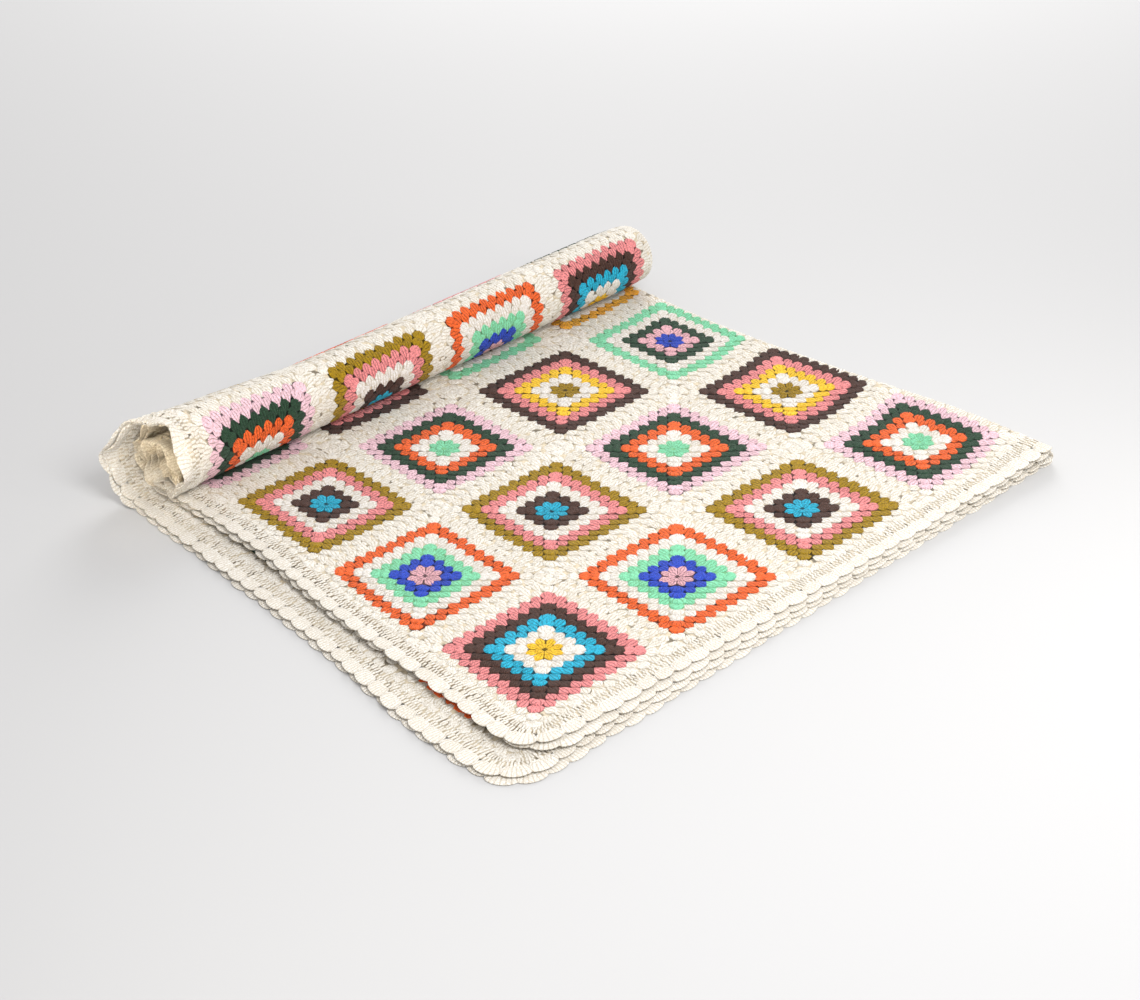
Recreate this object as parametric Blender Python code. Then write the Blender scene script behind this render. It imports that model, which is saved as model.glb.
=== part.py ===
"""Granny square blanket of crocheted cotton, folded in four and rolled up from its far end.

Eight by eleven crocheted squares are joined into one cloth, and a round of scalloped shells runs
along its border. The cloth is folded end over end, then in half across, so four layers lie flat on
each other, and the far part of that stack is wound back towards the front on top of itself.

Frame: X runs across the stack, from its open left edges to its fold; Y runs from the open front
edges to the roll; Z is up. The origin lies under the middle of the bounding box, on the surface.
"""

import math

import bmesh
import bpy

# The cloth, in metres
PITCH = 0.158  # one square, from joint to joint
SQUARES_ACROSS = 8
SQUARES_ALONG = 11
BORDER_ROWS = 0.010  # plain rows worked round the joined squares
SHELL_DEPTH = 0.0126  # from those rows to the tips of the shells
SHELL_NOTCH = 0.0050  # how far the notches between two shells run in from the tips
SHELL_WIDTH = 0.0198
CORNER_RADIUS = 0.030
CLOTH = 0.0020  # thickness of one layer
LAYER_STEP = 0.0029  # one layer and the air above it
PIECE_GAP = 0.0004  # between the squares' border and the edging

# The folds. Lengths along the cloth are counted from the middle of its first square.
FIRST_FOLD = (SQUARES_ALONG - 1) / 2 * PITCH  # end over end, through the middle row
SECOND_FOLD = 3.46 * PITCH  # in half across, beside the middle joint
EDGE = PITCH / 2 + BORDER_ROWS  # from the middle of an outer square to the body's border
TIP = EDGE + SHELL_DEPTH

# The roll
ROLL_START = 2.81 * PITCH  # the cloth that lies flat ahead of it
ROLL_AXIS_OPEN = 2.755 * PITCH  # where its axis lies at the open end, and at the folded end
ROLL_AXIS_FOLD = 2.815 * PITCH
ROLL_RADIUS = 0.0416  # outside, where it starts
ROLL_TAPER = 0.0006  # that much less at the open end and more at the folded end
ROLL_STRETCH = 1.05  # the outside layer is pulled longer as it is wound
COIL_STEP = 4 * LAYER_STEP  # four layers for each turn
WINDING_STEP = math.radians(20)
END_FLARE = 0.0125  # the outer turn stands open towards its rim at the left
FLARE_WIDTH = 1.2 * PITCH
END_NIP = 0.0025  # and the roll closes in beside the fold
NIP_WIDTH = 0.25 * PITCH

# Where the layers lie, in squares from the middle of the first square. Each row is a place along
# the stack; the columns give the left tips of the four layers from the top one down, and the middle
# of the fold on the right.
FLAT_EDGES = (
    # along, top, second, third, bottom, fold
    (-0.64, -0.735, -0.703, -0.938, -0.950, 3.640),
    (0.00, -0.700, -0.672, -0.950, -0.960, 3.625),
    (1.00, -0.657, -0.662, -0.852, -0.870, 3.505),
    (2.00, -0.576, -0.592, -0.800, -0.820, 3.405),
    (2.81, -0.570, -0.588, -0.768, -0.790, 3.400),
)
# The same in the roll, by degrees round it. Its outer turn stands out at the left.
ROLL_EDGES = (
    # turned, top, second, third, bottom, fold
    (0.0, -0.570, -0.588, -0.768, -0.790, 3.400),
    (60.0, -0.590, -0.620, -0.790, -0.815, 3.420),
    (120.0, -0.570, -0.600, -0.755, -0.780, 3.440),
    (160.0, -0.510, -0.540, -0.610, -0.640, 3.450),
    (200.0, -0.480, -0.510, -0.560, -0.590, 3.460),
    (250.0, -0.480, -0.510, -0.560, -0.600, 3.460),
    (290.0, -0.490, -0.520, -0.580, -0.620, 3.460),
    (330.0, -0.500, -0.530, -0.580, -0.610, 3.460),
    (400.0, -0.520, -0.540, -0.580, -0.610, 3.460),
    (560.0, -0.560, -0.570, -0.590, -0.600, 3.460),
    (760.0, -0.500, -0.500, -0.520, -0.520, 3.460),
)
# The top layer is pulled a little out of square: the middles of its four columns.
TOP_COLUMNS = (
    # along, first, second, third, fourth
    (-0.64, -0.030, 0.990, 2.060, 3.170),
    (0.00, -0.019, 0.999, 2.057, 3.146),
    (1.00, -0.031, 0.956, 1.995, 3.052),
    (2.00, 0.035, 0.969, 2.022, 3.002),
    (2.81, -0.010, 0.960, 1.990, 3.000),
)
TOP_COLUMNS_END = math.radians(60)  # round the roll, where that pull has died out
FRONT_TIPS = (-0.760, -0.720, -0.690, -0.630)  # front tips at the left, from the bottom layer up
FRONT_FOLD = -0.690  # and at the fold

# How high the top layer is lifted off a close-lying stack, in millimetres
LIFT = (
    # along, left tips, first column, second, third, fourth, fold
    (-0.64, 2.6, 1.0, 0.6, 1.6, 5.0, 9.0),
    (0.00, 1.4, 0.6, 1.0, 0.8, 3.6, 7.5),
    (0.50, 2.2, 1.4, 1.6, 1.2, 2.6, 5.0),
    (1.00, 2.4, 0.8, 1.0, 1.4, 1.6, 3.0),
    (1.50, 3.2, 1.3, 1.6, 1.8, 1.4, 1.5),
    (2.00, 4.4, 1.0, 0.6, 1.2, 0.8, 0.5),
    (2.40, 3.0, 0.8, 0.6, 0.6, 0.4, 0.0),
    (2.81, 0.0, 0.0, 0.0, 0.0, 0.0, 0.0),
)
LIFT_SHARES = (0.0, 0.15, 0.75, 1.0)  # of that lift, for the layers from the bottom one up

# The middle of the bounding box, in squares
MIDDLE_ACROSS = 1.3566
MIDDLE_ALONG = 1.1503


def read(table, at):
    """The columns of a table, read between its rows."""
    if at <= table[0][0]:
        return table[0][1:]
    for low, high in zip(table, table[1:]):
        if at <= high[0]:
            share = (at - low[0]) / (high[0] - low[0])
            return [a + (b - a) * share for a, b in zip(low[1:], high[1:])]
    return table[-1][1:]


def between(values, layer):
    """A value for each layer, from the bottom one up, read for a layer or between two."""
    below = min(int(layer), len(values) - 2)
    return values[below] + (values[below + 1] - values[below]) * (layer - below)


def fold_along(v, out):
    """The first fold: the way along the stack, the depth in the pair of layers, and that of its middle.

    out is the distance from the middle of the cloth towards its outer face.
    """
    rim = LAYER_STEP / 2
    start = FIRST_FOLD - rim * math.pi / 2
    if v <= start:
        return v, -out / LAYER_STEP, 0.0
    if v >= 2 * FIRST_FOLD - start:
        return 2 * FIRST_FOLD - v, 1 + out / LAYER_STEP, 1.0
    turn = (v - start) / rim
    radius = rim + out
    depth = 0.5 - radius / LAYER_STEP * math.cos(turn)
    return start + radius * math.sin(turn), depth, 0.5 - math.cos(turn) / 2


def fold_reach(pair):
    """Half the length of cloth that goes round the second fold."""
    return (1.5 - pair) * LAYER_STEP * math.pi / 2


def fold_across(u, depth, pair):
    """The second fold: the share of the way from tip to fold, the overhang, the level and the layer."""
    reach = fold_reach(pair)
    turn = min(max((u - SECOND_FOLD + reach) / (2 * reach), 0.0), 1.0)
    if turn < 0.5:
        share = min((u + TIP) / (SECOND_FOLD - reach + TIP), 1.0)
    else:
        far_tip = (SQUARES_ACROSS - 1) * PITCH + TIP
        share = min((far_tip - u) / (far_tip - SECOND_FOLD - reach), 1.0)
    radius = (1.5 - depth) * LAYER_STEP
    level = 1.5 + radius / LAYER_STEP * math.cos(turn * math.pi)
    layer = 3 - pair - (3 - 2 * pair) * turn
    return share, radius * math.sin(turn * math.pi), level, layer


def top_pull(u, share, along, edges):
    """How far the top layer's columns lie from an even spacing, in squares."""
    columns = read(TOP_COLUMNS, along)
    places = [edges[0], *columns, edges[4]]
    knots = [-TIP, 0.0, PITCH, 2 * PITCH, 3 * PITCH, SECOND_FOLD - fold_reach(0.0)]
    spot = sum(u > knot for knot in knots[1:-1])
    part = (u - knots[spot]) / (knots[spot + 1] - knots[spot])
    place = places[spot] + (places[spot + 1] - places[spot]) * part
    return place - edges[0] - (edges[4] - edges[0]) * share


def lift_at(u, share, along):
    """The lift of the top layer, in metres, above a place in the stack."""
    heights = read(LIFT, along)
    knots = [0.0] + [(squares * PITCH + TIP) / (SECOND_FOLD + TIP) for squares in range(4)] + [1.0]
    share = min(max(share, 0.0), 1.0)
    spot = min(sum(share > knot for knot in knots[1:-1]), len(knots) - 2)
    part = (share - knots[spot]) / (knots[spot + 1] - knots[spot])
    return (heights[spot] + (heights[spot + 1] - heights[spot]) * part) / 1000


def winding(along):
    """The angle round the roll at a way along the stack, from the bottom up the far side."""
    reach = (along - ROLL_START) * ROLL_STRETCH
    radius = ROLL_RADIUS - CLOTH / 2
    drop = COIL_STEP / (2 * math.pi)
    return (radius - math.sqrt(radius * radius - 2 * drop * reach)) / drop


def end_shift(across, edges, angle):
    """How far the roll stands out, or in, towards its ends."""
    opening = min(max(1 - (across - edges[3]) * PITCH / FLARE_WIDTH, 0.0), 1.0)
    closing = max(1 - (edges[4] - across) * PITCH / NIP_WIDTH, 0.0)
    flare = END_FLARE * opening * math.sin(min(angle / 2, math.pi)) ** 2
    return flare - END_NIP * closing * math.sin(min(angle / 2, math.pi / 2)) ** 2


def along_at(angle):
    """The way along the stack at an angle round the roll."""
    radius = ROLL_RADIUS - CLOTH / 2
    drop = COIL_STEP / (2 * math.pi)
    return ROLL_START + (radius * angle - drop * angle * angle / 2) / ROLL_STRETCH


def folded(u, v, out=0.0):
    """A point of the flat cloth, out of its middle towards one face, where it lies in the stack."""
    along, depth, pair = fold_along(v, out)
    share, overhang, level, layer = fold_across(u, depth, pair)
    flat = along <= ROLL_START
    angle = 0.0 if flat else winding(along)
    edges = read(FLAT_EDGES, along / PITCH) if flat else read(ROLL_EDGES, math.degrees(angle))
    edge = between(edges[3::-1], layer)
    across = edge + (edges[4] - edge) * share
    if layer == 3 and angle < TOP_COLUMNS_END:
        across += top_pull(u, share, along / PITCH, edges) * (1 - angle / TOP_COLUMNS_END)
    height = CLOTH / 2 + level * LAYER_STEP
    spot = (across - edges[3]) / (edges[4] - edges[3])
    axis = ROLL_AXIS_OPEN + (ROLL_AXIS_FOLD - ROLL_AXIS_OPEN) * spot
    if flat:
        front = between(FRONT_TIPS, layer)
        front = (front + (FRONT_FOLD - front) * max(share, 0.0)) * PITCH
        y = front + (along + TIP) * (axis - front) / (ROLL_START + TIP)
        z = height + between(LIFT_SHARES, layer) * lift_at(u, share, along / PITCH)
    else:
        centre = ROLL_RADIUS + ROLL_TAPER * (2 * spot - 1)
        radius = centre - height - COIL_STEP * angle / (2 * math.pi)
        radius += end_shift(across, edges, angle)
        y = axis + radius * math.sin(angle)
        z = centre - radius * math.cos(angle)
    return (across - MIDDLE_ACROSS) * PITCH + overhang, y - MIDDLE_ALONG * PITCH, z


def cotton(name, colour):
    material = bpy.data.materials.new(name)
    material.use_nodes = True
    surface = material.node_tree.nodes["Principled BSDF"]
    surface.inputs["Base Color"].default_value = (*colour, 1.0)
    surface.inputs["Roughness"].default_value = 0.9
    surface.inputs["Metallic"].default_value = 0.0
    return material


def cloth_solid(name, strips, material, closed):
    """A solid of one cloth thickness over rows of flat-cloth points, joined end to end if closed."""
    mesh = bmesh.new()
    sides = []
    for out in (CLOTH / 2, -CLOTH / 2):
        sides.append([[mesh.verts.new(folded(u, v, out)) for u, v in row] for row in strips])
    rows, columns = len(strips), len(strips[0])
    last = rows if closed else rows - 1
    for side in sides:
        for i in range(last):
            low, high = side[i], side[(i + 1) % rows]
            for j in range(columns - 1):
                mesh.faces.new((low[j], low[j + 1], high[j + 1], high[j]))
    front, back = sides
    for j in (0, columns - 1):
        for i in range(last):
            k = (i + 1) % rows
            mesh.faces.new((front[i][j], front[k][j], back[k][j], back[i][j]))
    if not closed:
        for i in (0, rows - 1):
            for j in range(columns - 1):
                mesh.faces.new((front[i][j], front[i][j + 1], back[i][j + 1], back[i][j]))
    bmesh.ops.recalc_face_normals(mesh, faces=mesh.faces)
    data = bpy.data.meshes.new(name)
    mesh.to_mesh(data)
    mesh.free()
    data.shade_smooth()
    data.set_sharp_from_angle(angle=math.radians(50))
    data.materials.append(material)
    thing = bpy.data.objects.new(name, data)
    bpy.context.scene.collection.objects.link(thing)
    return thing


CORNER_ANGLES = [math.radians(30 * step) for step in range(4)]
FOLD_TURNS = [step / 5 for step in range(6)]  # shares of a half turn


def body_rows():
    """Rows of points over the joined squares, from one end of the cloth to the other."""
    half = []  # distance along, and the corner's inset there
    for angle in CORNER_ANGLES:
        half.append((-EDGE + CORNER_RADIUS * (1 - math.cos(angle)), CORNER_RADIUS * (1 - math.sin(angle))))
    half += [(squares * PITCH, 0.0) for squares in (0.0, 0.5, 1.0, 1.5, 2.0, 2.4)]
    half.append((ROLL_START, 0.0))
    rim = LAYER_STEP / 2 * math.pi / 2
    turns = int((winding(FIRST_FOLD - rim) - 0.1) / WINDING_STEP)
    half += [(along_at(WINDING_STEP * (turn + 1)), 0.0) for turn in range(turns)]
    ways = half + [(FIRST_FOLD + rim * (2 * share - 1), 0.0) for share in (0.0, 0.25, 0.5, 0.75, 1.0)]
    ways += [(2 * FIRST_FOLD - along, inset) for along, inset in reversed(half)]
    far = (SQUARES_ACROSS - 1) * PITCH
    rows = []
    for v, inset in ways:
        upper = [-EDGE + inset] + [step / 2 * PITCH for step in range(7)]
        lower = [step * PITCH for step in (4, 5, 6, 7)] + [far + EDGE - inset]
        reach = fold_reach(fold_along(v, 0.0)[2])
        middle = [SECOND_FOLD + reach * (2 * share - 1) for share in FOLD_TURNS]
        rows.append([(u, v) for u in upper + middle + lower])
    return rows


def border():
    """The body's outline as corners and sides: length so far, start, direction and turning."""
    across = (SQUARES_ACROSS - 1) * PITCH + 2 * EDGE - 2 * CORNER_RADIUS
    along = (SQUARES_ALONG - 1) * PITCH + 2 * EDGE - 2 * CORNER_RADIUS
    corner = CORNER_RADIUS * math.pi / 2
    pieces, done, heading = [], 0.0, 0.0
    u, v = -EDGE + CORNER_RADIUS, -EDGE
    for length in (across, along, across, along):
        pieces.append((done, length, u, v, heading, 0.0))
        u += length * math.cos(heading)
        v += length * math.sin(heading)
        done += length
        pieces.append((done, corner, u, v, heading, 1.0))
        centre_u = u - CORNER_RADIUS * math.sin(heading)
        centre_v = v + CORNER_RADIUS * math.cos(heading)
        heading += math.pi / 2
        u = centre_u + CORNER_RADIUS * math.sin(heading)
        v = centre_v - CORNER_RADIUS * math.cos(heading)
        done += corner
    return pieces, done


def border_point(pieces, way, out):
    """A point at a way round the outline, and a distance out of it."""
    piece = max((piece for piece in pieces if piece[0] <= way + 1e-9), key=lambda piece: piece[0])
    done, _, u, v, heading, bend = piece
    reach = way - done
    if bend:
        turned = heading + reach / CORNER_RADIUS
        u += CORNER_RADIUS * (math.sin(turned) - math.sin(heading))
        v -= CORNER_RADIUS * (math.cos(turned) - math.cos(heading))
        heading = turned
    else:
        u += reach * math.cos(heading)
        v += reach * math.sin(heading)
    return u + out * math.sin(heading), v - out * math.cos(heading)


def edging_rows():
    """Pairs of points round the border: the foot and the tip of the shells."""
    pieces, whole = border()
    shells = round(whole / SHELL_WIDTH)
    width = whole / shells
    rim = LAYER_STEP / 2 * math.pi / 2
    needed = []
    for done, length, u, v, heading, bend in pieces:
        if bend:
            needed += [done + CORNER_RADIUS * angle for angle in CORNER_ANGLES]
        elif abs(math.sin(heading)) < 0.5:
            reach = fold_reach(fold_along(v, 0.0)[2])
            for share in FOLD_TURNS:
                needed.append(done + abs(SECOND_FOLD + reach * (2 * share - 1) - u))
        else:
            stops = [FIRST_FOLD + rim * (2 * share - 1) for share in (0.0, 0.25, 0.5, 0.75, 1.0)]
            bends = [along_at(math.radians(row[0])) for row in ROLL_EDGES[:-1]]
            stops += bends + [2 * FIRST_FOLD - bend for bend in bends]
            needed += [done + abs(stop - v) for stop in stops]
    ways = list(needed)
    for step in range(3 * shells):
        way = step * width / 3
        if min(abs(way - other) for other in needed + [whole]) > 0.0008:
            ways.append(way)
    rows = []
    for way in sorted(ways):
        phase = way / width % 1.0
        rise = min(phase, 1 - phase) * 3
        depth = SHELL_DEPTH - SHELL_NOTCH * (1 - min(rise, 1.0))
        rows.append([border_point(pieces, way, out) for out in (PIECE_GAP, depth)])
    return rows


for thing in list(bpy.data.objects):
    bpy.data.objects.remove(thing, do_unlink=True)

cream = cotton("cream_cotton", (0.86, 0.82, 0.72))
cloth_solid("joined_squares", body_rows(), cream, closed=False)
cloth_solid("shell_edging", edging_rows(), cream, closed=True)
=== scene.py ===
import math

import bpy
import numpy as np
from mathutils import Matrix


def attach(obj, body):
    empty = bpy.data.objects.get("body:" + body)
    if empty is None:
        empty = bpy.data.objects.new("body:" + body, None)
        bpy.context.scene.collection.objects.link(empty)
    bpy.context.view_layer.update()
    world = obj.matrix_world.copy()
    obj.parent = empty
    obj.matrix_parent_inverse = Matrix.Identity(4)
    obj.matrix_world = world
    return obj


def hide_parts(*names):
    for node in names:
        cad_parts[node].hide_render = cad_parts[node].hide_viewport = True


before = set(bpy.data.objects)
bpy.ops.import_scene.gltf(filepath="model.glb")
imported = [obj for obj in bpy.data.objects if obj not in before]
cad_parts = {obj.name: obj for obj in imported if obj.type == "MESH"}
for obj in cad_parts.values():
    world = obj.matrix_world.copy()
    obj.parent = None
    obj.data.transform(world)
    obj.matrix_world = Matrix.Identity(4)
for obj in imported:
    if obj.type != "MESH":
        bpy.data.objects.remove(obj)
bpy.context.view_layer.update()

# ---- The camera -------------------------------------------------------------------------------
# It stands in front of the left corner and looks down on the blanket, as a catalogue picture does.
# Sizes in this file are in metres where no other unit is named. The focal length is given in
# pixels, for a frame that is FRAME_PIXELS wide.
VIEW_AZIMUTH, VIEW_ELEVATION = math.radians(-43.61), math.radians(32.25)
VIEW_DISTANCE = 2.074
LOOKED_AT = (-0.0372, -0.0245, 0.0107)
FOCAL_PIXELS, FRAME_PIXELS = 2192.4, 1140
SENSOR_WIDTH = 36.0  # millimetres
FARTHEST_SEEN = 60

lens = bpy.data.cameras.new("camera")
lens.sensor_width = SENSOR_WIDTH
lens.lens = FOCAL_PIXELS / FRAME_PIXELS * SENSOR_WIDTH
lens.clip_end = FARTHEST_SEEN
camera = bpy.data.objects.new("camera", lens)
bpy.context.scene.collection.objects.link(camera)
away = (
    math.sin(VIEW_AZIMUTH) * math.cos(VIEW_ELEVATION),
    -math.cos(VIEW_AZIMUTH) * math.cos(VIEW_ELEVATION),
    math.sin(VIEW_ELEVATION),
)
camera.location = [spot + VIEW_DISTANCE * part for spot, part in zip(LOOKED_AT, away)]
camera.rotation_euler = (math.pi / 2 - VIEW_ELEVATION, 0, VIEW_AZIMUTH)
bpy.context.scene.camera = camera
bpy.context.scene.view_settings.view_transform = "Standard"

# ---- The cloth under the stitches --------------------------------------------------------------
# Eight by eleven squares of medium cotton, crocheted one by one and joined. The cloth is folded end
# over end, then in half across, and the four layers are wound up from the far end. This thin sheet
# is the ground that the worked stitches lie on, and what is seen between them.
PITCH = 0.158  # one crocheted square, from joint to joint
ACROSS, ALONG = 8, 11  # squares
ROUNDS = 12  # worked rounds from a square's middle to its joint
ROUND = 0.00637  # height of one round
BORDER_ROWS = 0.010  # the plain rows outside the last joint
SHELL_DEPTH = 0.0126
CORNER_RADIUS = 0.030
EDGE = PITCH / 2 + BORDER_ROWS  # from an outer square's middle to the cloth's edge
TIP = EDGE + SHELL_DEPTH  # and to the shells' tips
CLOTH = 0.0020  # its thickness
LAYER_STEP = 0.0029  # from the middle of one layer to the next
# The flat cloth's first square has its middle at 0, 0. Places u across it and v along it are
# measured from there, and so are these folds and the start and axis of the roll.
FIRST_FOLD = (ALONG - 1) / 2 * PITCH
SECOND_FOLD = 3.46 * PITCH
ROLL_START = 2.81 * PITCH
ROLL_AXIS_OPEN, ROLL_AXIS_FOLD = 2.755 * PITCH, 2.815 * PITCH  # at its open and its folded end
ROLL_RADIUS, ROLL_TAPER, ROLL_STRETCH = 0.0416, 0.0006, 1.05
COIL_STEP = 4 * LAYER_STEP  # how much each turn of four layers adds
END_FLARE, FLARE_WIDTH = 0.0125, 1.2 * PITCH  # the roll's open end stands wider
END_NIP, NIP_WIDTH = 0.0025, 0.25 * PITCH  # and its folded end closes in
MIDDLE_ACROSS, MIDDLE_ALONG = 1.3566 * PITCH, 1.1503 * PITCH  # what lies over the frame's origin
FRONT_TIPS = (-0.760, -0.720, -0.690, -0.630)  # squares, from the bottom layer up
FRONT_FOLD = -0.690  # and at the fold
# Places along the stack, in squares: the left tips of the layers from the top down, and the fold.
FLAT_EDGES = (
    (-0.64, -0.735, -0.703, -0.938, -0.950, 3.640),
    (0.00, -0.700, -0.672, -0.950, -0.960, 3.625),
    (1.00, -0.657, -0.662, -0.852, -0.870, 3.505),
    (2.00, -0.576, -0.592, -0.800, -0.820, 3.405),
    (2.81, -0.570, -0.588, -0.768, -0.790, 3.400),
)
# The same in the roll, by degrees round it.
ROLL_EDGES = (
    (0.0, -0.570, -0.588, -0.768, -0.790, 3.400),
    (60.0, -0.590, -0.620, -0.790, -0.815, 3.420),
    (120.0, -0.570, -0.600, -0.755, -0.780, 3.440),
    (160.0, -0.510, -0.540, -0.610, -0.640, 3.450),
    (200.0, -0.480, -0.510, -0.560, -0.590, 3.460),
    (250.0, -0.480, -0.510, -0.560, -0.600, 3.460),
    (290.0, -0.490, -0.520, -0.580, -0.620, 3.460),
    (330.0, -0.500, -0.530, -0.580, -0.610, 3.460),
    (400.0, -0.520, -0.540, -0.580, -0.610, 3.460),
    (560.0, -0.560, -0.570, -0.590, -0.600, 3.460),
    (760.0, -0.500, -0.500, -0.520, -0.520, 3.460),
)
# Places along the stack, and the middles of the top layer's four columns, pulled out of square.
TOP_COLUMNS = (
    (-0.64, -0.030, 0.990, 2.060, 3.170),
    (0.00, -0.019, 0.999, 2.057, 3.146),
    (1.00, -0.031, 0.956, 1.995, 3.052),
    (2.00, 0.035, 0.969, 2.022, 3.002),
    (2.81, -0.010, 0.960, 1.990, 3.000),
)
TOP_COLUMNS_END = math.radians(60)  # round the roll they run straight again
# Places along the stack, and the top layer's lift in millimetres at its tips, columns and fold.
LIFT = (
    (-0.64, 2.6, 1.0, 0.6, 1.6, 5.0, 9.0),
    (0.00, 1.4, 0.6, 1.0, 0.8, 3.6, 7.5),
    (0.50, 2.2, 1.4, 1.6, 1.2, 2.6, 5.0),
    (1.00, 2.4, 0.8, 1.0, 1.4, 1.6, 3.0),
    (1.50, 3.2, 1.3, 1.6, 1.8, 1.4, 1.5),
    (2.00, 4.4, 1.0, 0.6, 1.2, 0.8, 0.5),
    (2.40, 3.0, 0.8, 0.6, 0.6, 0.4, 0.0),
    (2.81, 0.0, 0.0, 0.0, 0.0, 0.0, 0.0),
)
LIFT_SHARES = (0.0, 0.15, 0.75, 1.0)  # how far each layer goes with it, from the bottom up
# The cloth isn't folded quite straight. Places along it, in squares, and how far it is drawn
# through the second fold, and back along it, in millimetres.
SLID = (
    (-0.64, 9.0, 0.0),
    (-0.40, 9.0, 13.0),
    (0.40, 5.0, 14.5),
    (0.80, 1.5, 13.0),
    (1.60, 0.0, 10.0),
    (2.40, 0.0, 9.0),
    (2.85, 0.0, 0.0),
)
SLID_ACROSS = (3.0, 3.40, 3.50, 4.2)  # squares: it is slid fully from the second to the third


def read(table, at):
    """A table's columns at many places, on smooth curves through its rows."""
    rows = np.array(table)
    steps, values = rows[:, 0], rows[:, 1:]
    slopes = np.gradient(values, steps, axis=0)
    at = np.clip(at, steps[0], steps[-1])
    low = np.clip(np.searchsorted(steps, at, side="right") - 1, 0, len(steps) - 2)
    width = (steps[low + 1] - steps[low])[:, None]
    part = (at - steps[low])[:, None] / width
    start = values[low] * (1 + 2 * part) + slopes[low] * width * part
    end = values[low + 1] * (3 - 2 * part) - slopes[low + 1] * width * (1 - part)
    return start * (1 - part) ** 2 + end * part**2


def between(values, place):
    """One value from each row of values, read for a place from its first column on."""
    below = np.clip(place.astype(int), 0, values.shape[1] - 2)
    row = np.arange(len(place))
    low, high = values[row, below], values[row, below + 1]
    return low + (high - low) * (place - below)


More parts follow.
